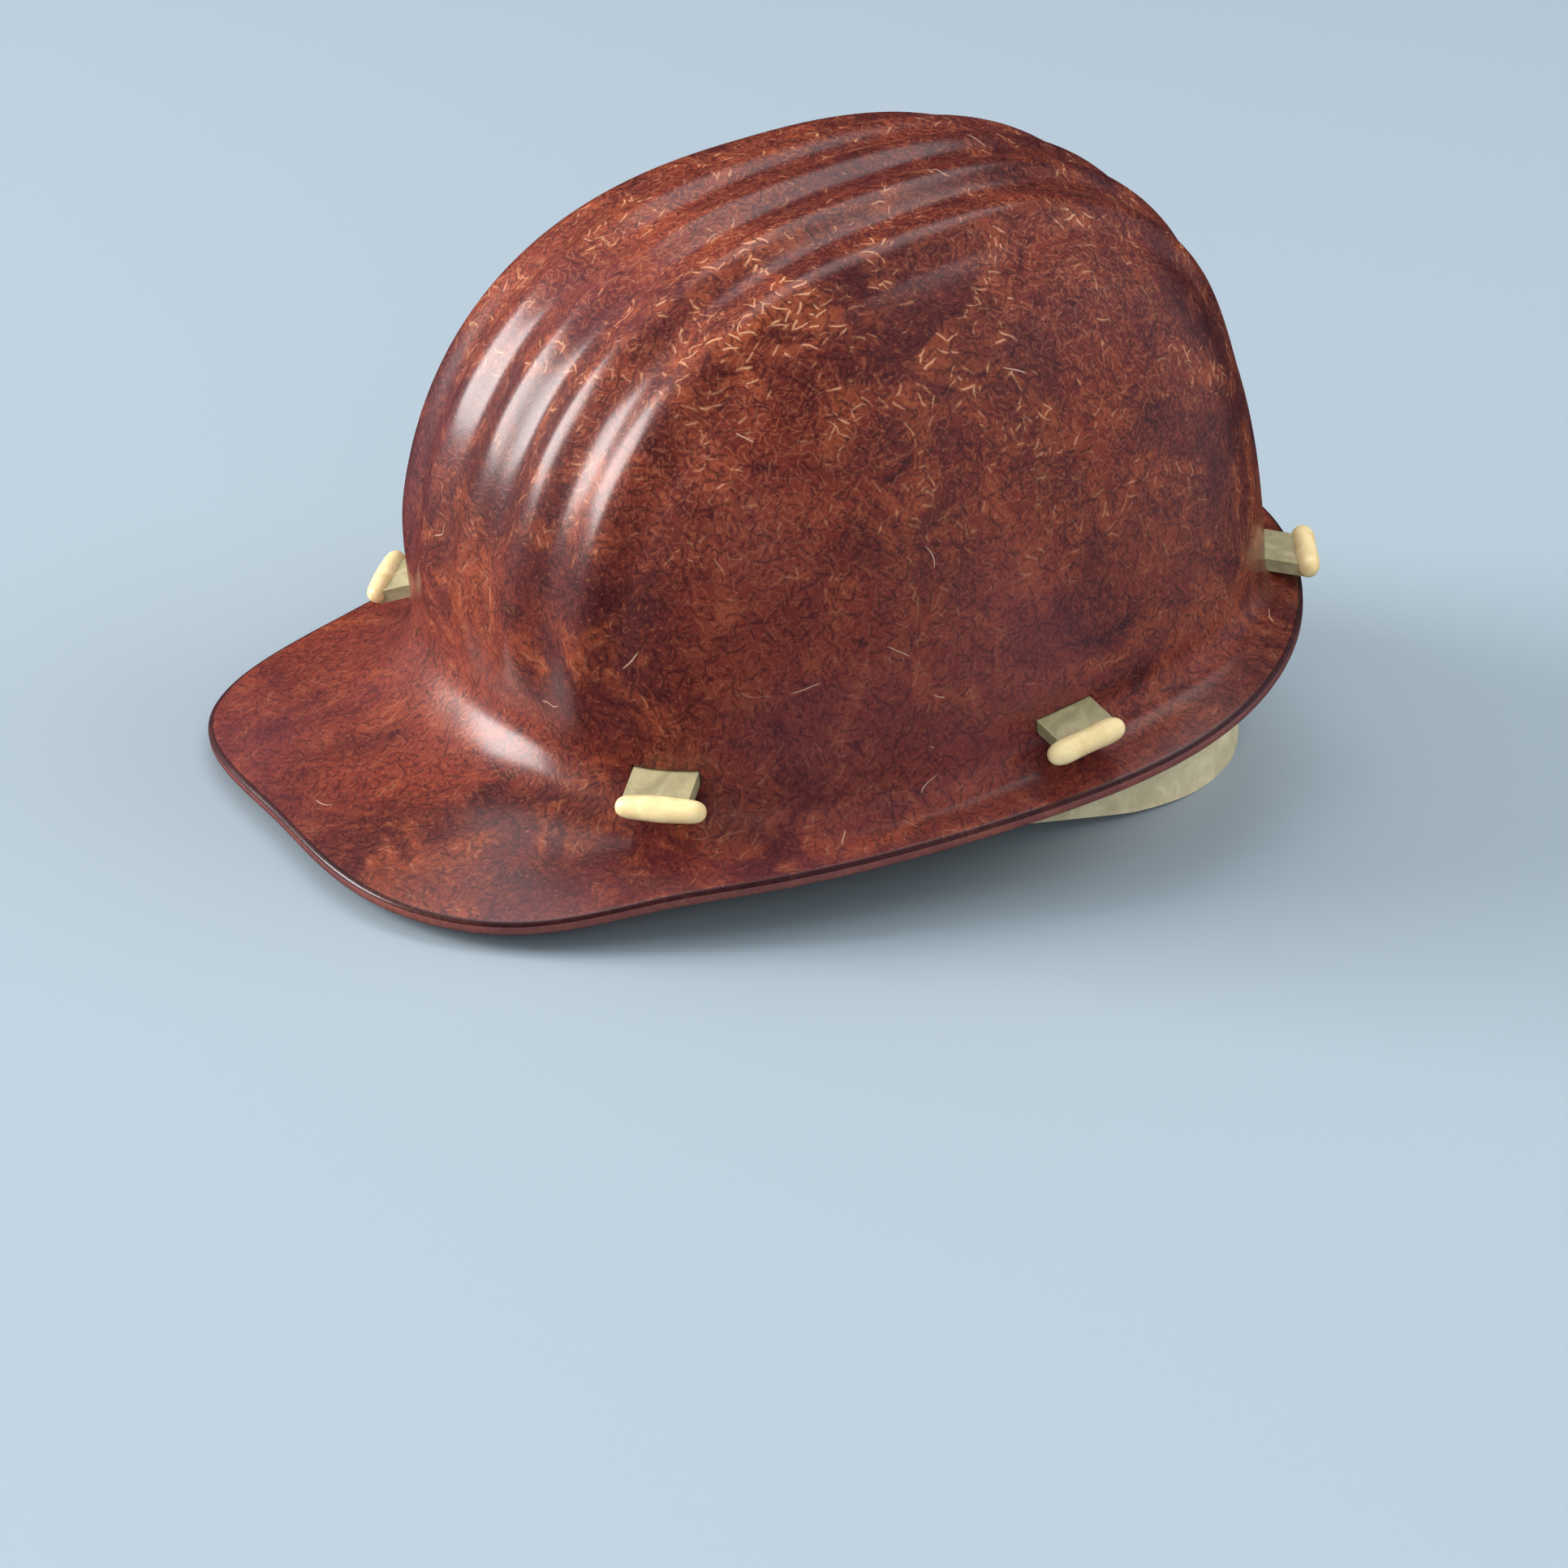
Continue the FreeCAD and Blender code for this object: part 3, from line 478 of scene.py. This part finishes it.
# %% Group that draws fibres
def fibre_group():
    """Laid flat on the surface, a fibre is where |offset across| < width and
    |offset along| < length, measured in cells. Share is the part of cells that hold one."""
    b, ins, outs = new_group("fibres", {
        "Scale": "Float", "Width": "Float", "Length": "Float", "Share": "Float",
        "Bend": "Float", "Seed": "Vector"}, {"Fibre": "Float"})
    where = b.vector("ADD", b.where(), ins.outputs["Seed"])
    bend = b.noise(where, b.times(ins.outputs["Scale"], 0.9), 1.0)
    sway = b.vector("SUBTRACT", bend.outputs["Color"], (0.5, 0.5, 0.5))
    amount = b.math("DIVIDE", ins.outputs["Bend"], ins.outputs["Scale"])
    where = b.vector("ADD", where, b.vector("SCALE", sway, scale=amount))
    cell = b.node("ShaderNodeTexVoronoi")
    b.plug(where, cell.inputs["Vector"])
    b.plug(ins.outputs["Scale"], cell.inputs["Scale"])
    inside = b.vector("SUBTRACT", where, cell.outputs["Position"])
    inside = b.vector("SCALE", inside, scale=ins.outputs["Scale"])
    normal = b.node("ShaderNodeNewGeometry").outputs["Normal"]
    way = b.vector("SUBTRACT", cell.outputs["Color"], (0.5, 0.5, 0.5))
    flow = b.vector("SUBTRACT", b.noise(where, 28.0, 2.0).outputs["Color"], (0.5, 0.5, 0.5))
    way = b.vector("ADD", way, b.vector("SCALE", flow, scale=2.4))

    def flat(v):
        depth = b.vector("DOT_PRODUCT", v, normal)
        return b.vector("SUBTRACT", v, b.vector("SCALE", normal, scale=depth))

    way, inside = b.vector("NORMALIZE", flat(way)), flat(inside)
    along = b.vector("DOT_PRODUCT", inside, way)
    aside = b.vector("SUBTRACT", inside, b.vector("SCALE", way, scale=along))
    across = b.math("DIVIDE", b.vector("LENGTH", aside), ins.outputs["Width"])
    thin = b.math("SUBTRACT", 1.0, across, clamp=True)
    along = b.math("DIVIDE", b.math("ABSOLUTE", along), ins.outputs["Length"])
    ends = b.math("MULTIPLY", b.math("SUBTRACT", 1.0, along, clamp=True), 3.0, clamp=True)
    pick = b.node("ShaderNodeTexWhiteNoise", noise_dimensions="3D")
    b.plug(cell.outputs["Position"], pick.inputs["Vector"])
    kept = b.math("LESS_THAN", pick.outputs["Value"], ins.outputs["Share"])
    b.plug(b.times(b.times(thin, ends), kept), outs.inputs[0])
    return b.tree


FIBRES = fibre_group()


def fibres(board, scale, width, length, share, bend, seed):
    return placed(board, FIBRES, Scale=scale, Width=width, Length=length, Share=share,
                  Bend=bend, Seed=seed)


# %% [markdown]
# Resin of this kind is never one colour. The pigment is cloudy, soot-dark in places and
# rust-coloured in others, the fibres take it up differently, and pale ones gather in
# drifts high on the dome. Each of these is one layer mixed over the last, from the
# broadest to the finest. All of them read Object coordinates, so they are solid in the
# material and don't stretch over the curves.

# %% Pigment and fibres of the resin
MAROON, BRICK = (0.070, 0.011, 0.010, 1), (0.170, 0.026, 0.013, 1)
RUST, SOOT = (0.31, 0.066, 0.022, 1), (0.026, 0.004, 0.005, 1)
DARK_TANGLE, LIGHT_TANGLE = (0.025, 0.003, 0.004, 1), (0.36, 0.11, 0.045, 1)
DYED_FIBRE, BURNT_FIBRE = (0.46, 0.17, 0.075, 1), (0.020, 0.003, 0.005, 1)
GOLD_FIBRE, PALE_FIBRE = (0.70, 0.38, 0.20, 1), (0.72, 0.50, 0.34, 1)
BLOOM = (0.12, 0.040, 0.060, 1)
# Dark line along the top of the edge; the paler edge face is a painted reflection of the bright table.
RIM_LINE, PAINTED_EDGE_REFLECTION = (0.015, 0.004, 0.006, 1), (0.24, 0.10, 0.09, 1)


def pigment(b, cloud, patch, tangle):
    """Cloudy red, then patches of rust and soot, then a fine tangle of both."""
    colour = b.mix(b.ramp(cloud, 0.36, 0.66), MAROON, BRICK)
    for pattern, low, high, strength, layer in (
            (patch, 0.45, 0.70, 0.65, RUST), (patch, 0.43, 0.28, 0.80, SOOT),
            (tangle, 0.48, 0.32, 0.70, DARK_TANGLE), (tangle, 0.54, 0.72, 0.50, LIGHT_TANGLE)):
        colour = b.mix(b.times(b.ramp(pattern, low, high), strength), colour, layer)
    return colour


def add_fibres(b, colour, where, cloud, patch):
    """Dyed, burnt, golden and a few long pale fibres. The golden ones crowd in patches,
    more so high on the dome."""
    split = b.node("ShaderNodeSeparateXYZ")
    b.plug(where, split.inputs[0])
    high = b.ramp(split.outputs["Z"], 0.06, 0.155)
    crowd = b.times(b.math("MULTIPLY_ADD", high, 0.6, 0.4), b.ramp(cloud, 0.30, 0.60))
    dyed = b.math("MAXIMUM", fibres(b, 420.0, 0.15, 0.65, 0.80, 0.8, (0.11, 0.0, 0.0)),
                  fibres(b, 290.0, 0.10, 0.60, 0.60, 0.9, (0.0, 0.23, 0.0)))
    colour = b.mix(b.times(b.times(dyed, crowd), 0.40), colour, DYED_FIBRE)
    burnt = b.math("MAXIMUM", fibres(b, 190.0, 0.11, 0.6, 0.6, 0.6, (0.4, 0.1, 0.0)),
                   fibres(b, 300.0, 0.15, 0.6, 0.7, 0.6, (0.0, 0.4, 0.2)))
    colour = b.mix(b.times(burnt, 0.65), colour, BURNT_FIBRE)
    clump = b.times(b.ramp(patch, 0.47, 0.64), b.math("MULTIPLY_ADD", high, 0.75, 0.25))
    gold = b.math("MAXIMUM", fibres(b, 240.0, 0.10, 0.6, 0.60, 0.5, (0.2, 0.0, 0.3)),
                  fibres(b, 150.0, 0.045, 0.4, 0.35, 0.5, (0.1, 0.5, 0.3)))
    colour = b.mix(b.times(b.times(gold, clump), 0.80), colour, GOLD_FIBRE)
    pale = fibres(b, 75.0, 0.018, 0.26, 0.035, 0.3, (0.31, 0.2, 0.0))
    return b.mix(b.times(pale, 0.7), colour, PALE_FIBRE), dyed


# %% [markdown]
# Over the pigment lies a thin gloss that years of wear have broken up, so the shine is a
# clear coat whose roughness follows the patches, while the body under it hardly shines.
# The rim value draws a dark line along the top of the edge and pales the edge face below it, a painted
# reflection of the bright table.

# %% Resin
def resin_material():
    material, b, shader = new_material("shell_resin")
    where = b.where()
    cloud = b.noise(where, 16.0, 5.0, 0.6, 0.6).outputs[0]
    patch = b.noise(where, 45.0, 5.0, 0.65, 1.4).outputs[0]
    tangle = b.noise(where, 260.0, 4.0, 0.7, 3.2).outputs[0]
    colour, dyed = add_fibres(b, pigment(b, cloud, patch, tangle), where, cloud, patch)
    bloom = b.ramp(b.noise(where, 9.0, 2.0).outputs[0], 0.45, 0.75)
    colour = b.mix(b.times(bloom, 0.30), colour, BLOOM)
    # Painted reflection: the edge face is paled as if it caught the bright table below; a dark line
    # runs along the top corner of the edge.
    rim = b.node("ShaderNodeAttribute", attribute_name="rim").outputs["Fac"]
    face = b.ramp(rim, 0.75, 0.95)
    line = b.times(b.ramp(rim, 0.3, 0.5), b.math("SUBTRACT", 1.0, face))
    colour = b.mix(b.times(line, 0.8), colour, RIM_LINE)
    colour = b.mix(b.times(face, 0.5), colour, PAINTED_EDGE_REFLECTION)
    b.plug(colour, shader.inputs["Base Color"])
    shader.inputs["Roughness"].default_value = 0.34
    shader.inputs["Specular IOR Level"].default_value = 0.10
    shader.inputs["Coat Weight"].default_value = 0.62
    b.plug(b.math("MULTIPLY_ADD", patch, 0.16, 0.16), shader.inputs["Coat Roughness"])
    shader.inputs["Coat Tint"].default_value = (1.0, 0.93, 0.92, 1)
    grain = b.math("ADD", b.times(dyed, 0.5), b.times(tangle, 0.6))
    bump(b, grain, 0.16, 0.0006, shader)
    return material


resin = resin_material()
print("resin:", len(resin.node_tree.nodes), "nodes")

# %% [markdown]
# Plastic and leather both stain unevenly with age. One group gives them their clouds of
# a pale and a dark colour, and each material sets its own size of cloud and its own two
# colours. The arms are a darker cream. The bands behind them are a paler copy of the same
# plastic, painted light for the light the table throws up under them. The toggles turned
# yellow.


# %% Group that stains, and the aged plastics
def stain_group():
    """Pale colour where a distorted noise is above High, dark where it is below Low."""
    b, ins, outs = new_group("stain", {
        "Scale": "Float", "Twist": "Float", "Low": "Float", "High": "Float",
        "Dark": "Color", "Pale": "Color"}, {"Color": "Color"})
    cloud = b.noise(b.where(), ins.outputs["Scale"], 4.0, 0.6, ins.outputs["Twist"]).outputs[0]
    amount = b.ramp(cloud, ins.outputs["Low"], ins.outputs["High"])
    b.plug(b.mix(amount, ins.outputs["Dark"], ins.outputs["Pale"]), outs.inputs[0])
    return b.tree


STAIN = stain_group()


def plastic_material(name, pale, dark, rough):
    """Aged polyethylene: yellowed, a little see-through, with a fine grain."""
    material, b, shader = new_material(name)
    colour = placed(b, STAIN, Scale=120.0, Twist=0.8, Low=0.35, High=0.7, Dark=dark, Pale=pale)
    b.plug(colour, shader.inputs["Base Color"])
    shader.inputs["Roughness"].default_value = rough
    shader.inputs["Subsurface Weight"].default_value = 0.35
    shader.inputs["Subsurface Radius"].default_value = (0.004, 0.003, 0.0015)
    bump(b, b.noise(b.where(), 420.0, 3.0).outputs[0], 0.2, 0.0006, shader)
    return material


cream = plastic_material("cradle_polyethylene", (0.42, 0.36, 0.20, 1), (0.28, 0.24, 0.13, 1), 0.42)
# Paler copy of the cradle plastic: painted light from below on the headband and nape strap.
band = plastic_material("band_polyethylene_painted_lit", (0.74, 0.65, 0.42, 1), (0.56, 0.48, 0.29, 1), 0.42)
ivory = plastic_material("toggle_polyethylene", (0.88, 0.70, 0.38, 1), (0.76, 0.56, 0.27, 1), 0.36)

# %% [markdown]
# The lining and the two pads are leather: stained, worn matt, with a pebbled grain that
# a cell pattern gives as the distance to each cell's edge. The rivets are dull brass.


# %% Leather and rivets
def leather_material():
    """Dark worn leather with a fine grain and paler rubbed places."""
    material, b, shader = new_material("leather")
    colour = placed(b, STAIN, Scale=30.0, Twist=0.5, Low=0.4, High=0.7,
                    Dark=(0.075, 0.036, 0.018, 1), Pale=(0.17, 0.09, 0.045, 1))
    b.plug(colour, shader.inputs["Base Color"])
    cells = b.node("ShaderNodeTexVoronoi", feature="DISTANCE_TO_EDGE")
    b.plug(b.where(), cells.inputs["Vector"])
    cells.inputs["Scale"].default_value = 700.0
    shader.inputs["Roughness"].default_value = 0.62
    bump(b, cells.outputs[0], 0.35, 0.0008, shader)
    return material


def metal_material():
    material, _, shader = new_material("rivet_metal")
    shader.inputs["Base Color"].default_value = (0.42, 0.33, 0.17, 1)
    shader.inputs["Metallic"].default_value = 1.0
    shader.inputs["Roughness"].default_value = 0.42
    return material


leather, metal = leather_material(), metal_material()

# %% [markdown]
# The new shell and toggles stand in for the CAD ones, in the same slots of material and
# on the same body. The other CAD pieces stay. Real mouldings have no knife edges, so a
# narrow bevel that acts only on sharp edges catches the light along them.


# %% Shell and toggles
def dress(obj, material):
    obj.data.materials.clear()
    obj.data.materials.append(material)


dress(shell, resin)
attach(shell, "helmet")
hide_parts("shell")
for place, bars in toggles.items():
    for bar in bars:
        dress(bar, ivory)
        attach(bar, "helmet")
    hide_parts("toggles_" + place)

# %% The other pieces
SHARP = math.radians(38)


def soften(obj, width):
    """Rounds the moulded edges of a CAD piece for show."""
    made = obj.modifiers.new("soft_edges", "BEVEL")
    made.width = width
    made.segments = 3
    made.limit_method = "ANGLE"
    made.angle_limit = SHARP
    made.harden_normals = True


for name, node in nodes.items():
    if name == "shell" or name.startswith("toggles_"):
        continue
    finish, width = cream, 0.0004
    if "rivets" in name:
        finish, width = metal, None
    elif name == "size_pegs":
        finish, width = ivory, None
    elif name in ("sweatband", "nape_pad", "crown_pad"):
        finish, width = leather, 0.0007
    # The bands take the paler copy of the cradle plastic, painted light from below.
    elif name in ("headband", "nape_strap"):
        finish, width = band, 0.0003
    dress(node, finish)
    if width:
        soften(node, width)
    print(name, "in", finish.name)

# %% [markdown]
# The table is a plain painted board. Glossy rays don't see it, which keeps the near side
# of the shell as deep and dark as a polished thing looks in a large, dim room.

# %% Table
bpy.ops.mesh.primitive_plane_add(size=14.0, location=(0, 0, 0))
table = bpy.context.object
table.name = "table"
table.visible_glossy = False
paint, _, shader = new_material("table_paint")
shader.inputs["Base Color"].default_value = (0.30, 0.360, 0.405, 1)
shader.inputs["Roughness"].default_value = 0.55
dress(table, paint)

# %% [markdown]
# The room is two skies in one. Matt surfaces get an even, pale one. The shine gets a dim
# one with two soft bright sides, because an even sky would lay a grey veil on the resin.

# %% Room
world = bpy.data.worlds.new("room")
bpy.context.scene.world = world
world.use_nodes = True
b = Board(world.node_tree)
ray = b.node("ShaderNodeTexCoord").outputs["Generated"]


def towards(direction, low, high):
    """0 to 1 as the ray turns towards a direction, by the dot product of the two."""
    return b.ramp(b.vector("DOT_PRODUCT", ray, direction), low, high)


sky = b.mix(towards((0.55, -0.55, 0.63), -0.35, 0.95), (0.62, 0.67, 0.72, 1), (0.95, 1.05, 1.15, 1))
shine = b.mix(towards((0.80, -0.50, 0.33), 0.30, 1.0), (0.03, 0.035, 0.045, 1), (0.55, 0.58, 0.62, 1))
shine = b.mix(towards((-0.75, 0.55, 0.37), 0.45, 0.95), shine, (0.50, 0.56, 0.70, 1))
sky = b.mix(b.node("ShaderNodeLightPath").outputs["Is Glossy Ray"], sky, shine)
back = world.node_tree.nodes["Background"]
b.plug(sky, back.inputs[0])
back.inputs[1].default_value = 0.75

# %% [markdown]
# A large window off to the left of the picture gives the long highlights between the
# ribs, and a weaker one overhead those on the crown. Two more lights only even out the
# shade on the table and leave no reflection.

# %% Lights
LOOK_AT = Vector((0.0, 0.0, 0.08))


def window(name, place, size, power, colour, mirrored=True):
    light = bpy.data.lights.new(name, "AREA")
    light.shape = "RECTANGLE"
    light.size, light.size_y = size
    light.energy = power
    light.color = colour
    obj = bpy.data.objects.new(name, light)
    obj.location = place
    obj.rotation_euler = (LOOK_AT - Vector(place)).to_track_quat("-Z", "Y").to_euler()
    obj.visible_glossy = mirrored
    bpy.context.scene.collection.objects.link(obj)


window("window", (2.5, -1.6, 1.2), (1.9, 1.7), 175.0, (1.0, 0.97, 0.95))
window("overhead", (-0.35, -0.6, 1.9), (1.6, 1.0), 12.0, (0.93, 0.97, 1.0))
window("fill", (0.9, 1.7, 0.9), (1.4, 1.0), 13.0, (1.0, 0.99, 0.97), mirrored=False)
window("far side", (-1.7, 0.7, 1.7), (1.6, 1.2), 30.0, (0.97, 0.98, 1.0), mirrored=False)

# %% [markdown]
# The camera was solved from the photograph: where it stands in the helmet's own frame,
# in millimetres, and the three directions of its picture. The stand's matrix then
# carries it to the table along with the helmet.

# %% Camera
CAMERA_PLACE = Vector((520.2, 954.8, 612.6))
PICTURE_RIGHT = Vector((-0.85634243, 0.50776732, -0.0940744))
PICTURE_UP = Vector((-0.33616396, -0.40983437, 0.84795612))
AHEAD = Vector((-0.39200949, -0.75776523, -0.52165163))
pose = Matrix.Identity(4)
for i, axis in enumerate((PICTURE_RIGHT, PICTURE_UP, -AHEAD)):
    pose.col[i] = (*axis, 0)
pose.col[3] = (*(CAMERA_PLACE * 0.001), 1)
camera = bpy.data.objects.new("camera", bpy.data.cameras.new("camera"))
camera.data.lens = 104.03
camera.data.sensor_width = 36.0
camera.matrix_world = STAND @ pose
bpy.context.scene.collection.objects.link(camera)
bpy.context.scene.camera = camera
bpy.context.scene.view_settings.view_transform = "Standard"
